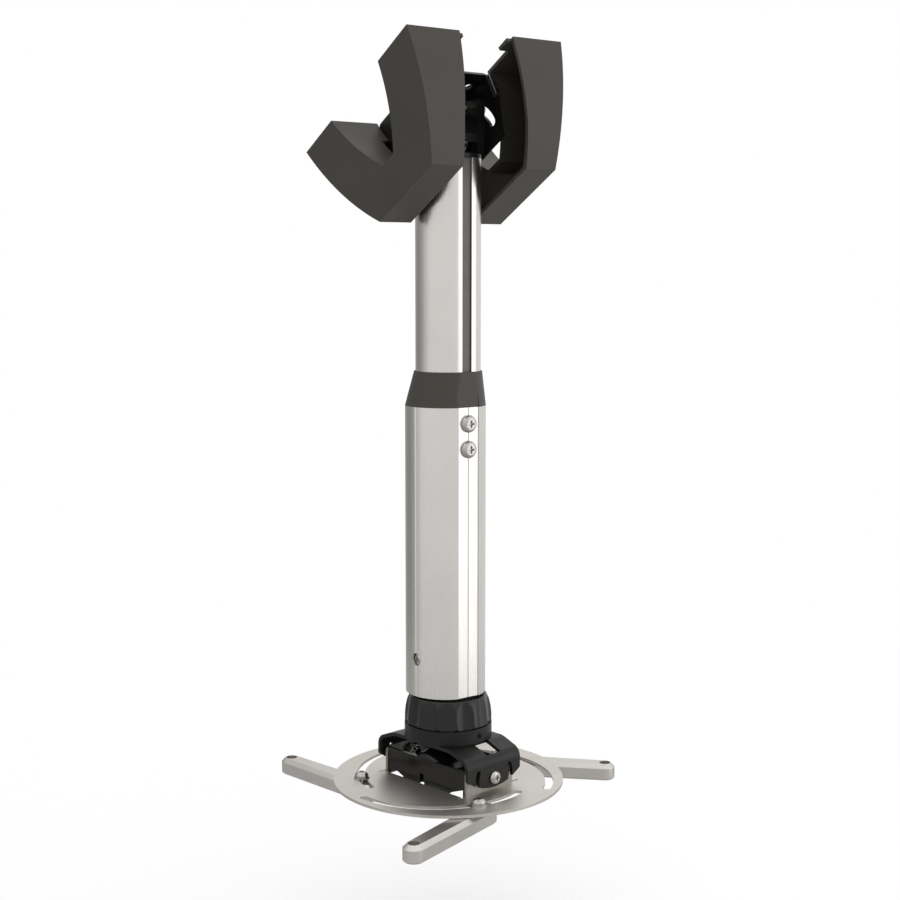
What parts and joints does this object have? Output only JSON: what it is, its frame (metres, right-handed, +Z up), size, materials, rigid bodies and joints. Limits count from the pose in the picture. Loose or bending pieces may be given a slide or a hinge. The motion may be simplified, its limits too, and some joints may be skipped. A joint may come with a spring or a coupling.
{
  "type": "projector ceiling mount",
  "caption": "Telescopic projector ceiling mount: folded bracket with tilting head between two covers, clamped column, swivel, and a round plate with swinging arms.",
  "frame": {"origin": "middle of the ceiling plate's upper face, where it meets the ceiling", "axes": "+Z up along the hanging column, +X along the head's tilt axis; the ceiling slopes 31 degrees about X, down towards +Y"},
  "size_m": [0.2227, 0.2118, 0.5313],
  "materials": {
    "bracket_black": "satin black powder coat",
    "clip_steel": "bright bare steel",
    "cover_charcoal": "smooth satin charcoal",
    "cast_black": "satin black paint on a casting",
    "screw_chrome": "bright nickel plate",
    "screw_black": "black oxide",
    "tube_aluminium": "fine brushed and anodised",
    "knob_black": "satin black moulding",
    "plate_metal": "silver, finely brushed",
    "cradle_black": "satin black moulding",
    "arm_silver": "satin silver casting"
  },
  "bodies": {
    "ceiling_fixing": {"ceiling_bracket": "bracket_black", "cover_clips": "clip_steel", "left_cover": "cover_charcoal", "right_cover": "cover_charcoal"},
    "upper_column": {"tilt_head": "cast_black", "head_pin": "clip_steel", "pivot_bolts": "screw_chrome", "pivot_nuts": "screw_chrome", "lock_washers": "screw_chrome", "lock_bolts": "screw_chrome", "lock_nuts": "screw_chrome", "inner_tube": "tube_aluminium"},
    "lower_column": {"outer_tube": "tube_aluminium", "collar": "cover_charcoal", "clamp_screws": "screw_chrome", "swivel_plug": "cast_black", "foot_screw": "screw_chrome"},
    "knob": {"lock_knob": "knob_black"},
    "swivel_base": {"swivel_ring": "cast_black", "ring_set_screw": "screw_black", "stem_nut": "clip_steel", "yoke": "bracket_black", "yoke_bolt": "screw_black"},
    "tilting_plate": {"plate": "plate_metal", "cradle": "cradle_black", "tilt_screws": "screw_chrome", "tilt_washers": "screw_black", "tilt_nuts": "screw_chrome"},
    "slider_a": {"arm_screw_a": "screw_chrome", "arm_washer_a": "clip_steel"},
    "arm_a_body": {"arm_a": "arm_silver"},
    "slider_b": {"arm_screw_b": "screw_chrome", "arm_washer_b": "clip_steel"},
    "arm_b_body": {"arm_b": "arm_silver"},
    "slider_c": {"arm_screw_c": "screw_chrome", "arm_washer_c": "clip_steel"},
    "arm_c_body": {"arm_c": "arm_silver"}
  },
  "joints": [
    {"name": "head_tilt", "type": "hinge", "parent": "ceiling_fixing", "child": "upper_column", "pos_m": [0, -0.01854, -0.03086], "axis": [1, 0, 0], "range_deg": [-116, 54]},
    {"name": "column_slide", "type": "slide", "parent": "upper_column", "child": "lower_column", "axis": [0, 0, 1], "range_m": [-0.06, 0.085]},
    {"name": "knob_turn", "type": "hinge", "parent": "lower_column", "child": "knob", "pos_m": [0, -0.01854, -0.43036], "axis": [0, 0, 1], "continuous": true},
    {"name": "swivel", "type": "hinge", "parent": "lower_column", "child": "swivel_base", "pos_m": [0, -0.01854, -0.43036], "axis": [0, 0, 1], "continuous": true},
    {"name": "plate_tilt", "type": "hinge", "parent": "swivel_base", "child": "tilting_plate", "pos_m": [0, -0.01854, -0.47036], "axis": [-0.1219, 0.9925, 0], "range_deg": [-15, 15]},
    {"name": "arm_travel_a", "type": "hinge", "parent": "tilting_plate", "child": "slider_a", "pos_m": [0.00834, -0.01517, -0.48036], "axis": [0, 0, 1], "range_deg": [-86.5, 17.9]},
    {"name": "arm_swing_a", "type": "hinge", "parent": "slider_a", "child": "arm_a_body", "pos_m": [-0.05233, 0.01508, -0.48266], "axis": [0, 0, 1], "range_deg": [-80, 80]},
    {"name": "arm_travel_b", "type": "hinge", "parent": "tilting_plate", "child": "slider_b", "pos_m": [-0.00709, -0.013, -0.48036], "axis": [0, 0, 1], "range_deg": [-72.3, 32.1]},
    {"name": "arm_swing_b", "type": "hinge", "parent": "slider_b", "child": "arm_b_body", "pos_m": [-0.01968, -0.07962, -0.48266], "axis": [0, 0, 1], "range_deg": [-80, 80]},
    {"name": "arm_travel_c", "type": "hinge", "parent": "tilting_plate", "child": "slider_c", "pos_m": [-0.00125, -0.02745, -0.48036], "axis": [0, 0, 1], "range_deg": [-74.2, 30.2]},
    {"name": "arm_swing_c", "type": "hinge", "parent": "slider_c", "child": "arm_c_body", "pos_m": [0.06196, -0.00294, -0.48266], "axis": [0, 0, 1], "range_deg": [-80, 80]}
  ]
}
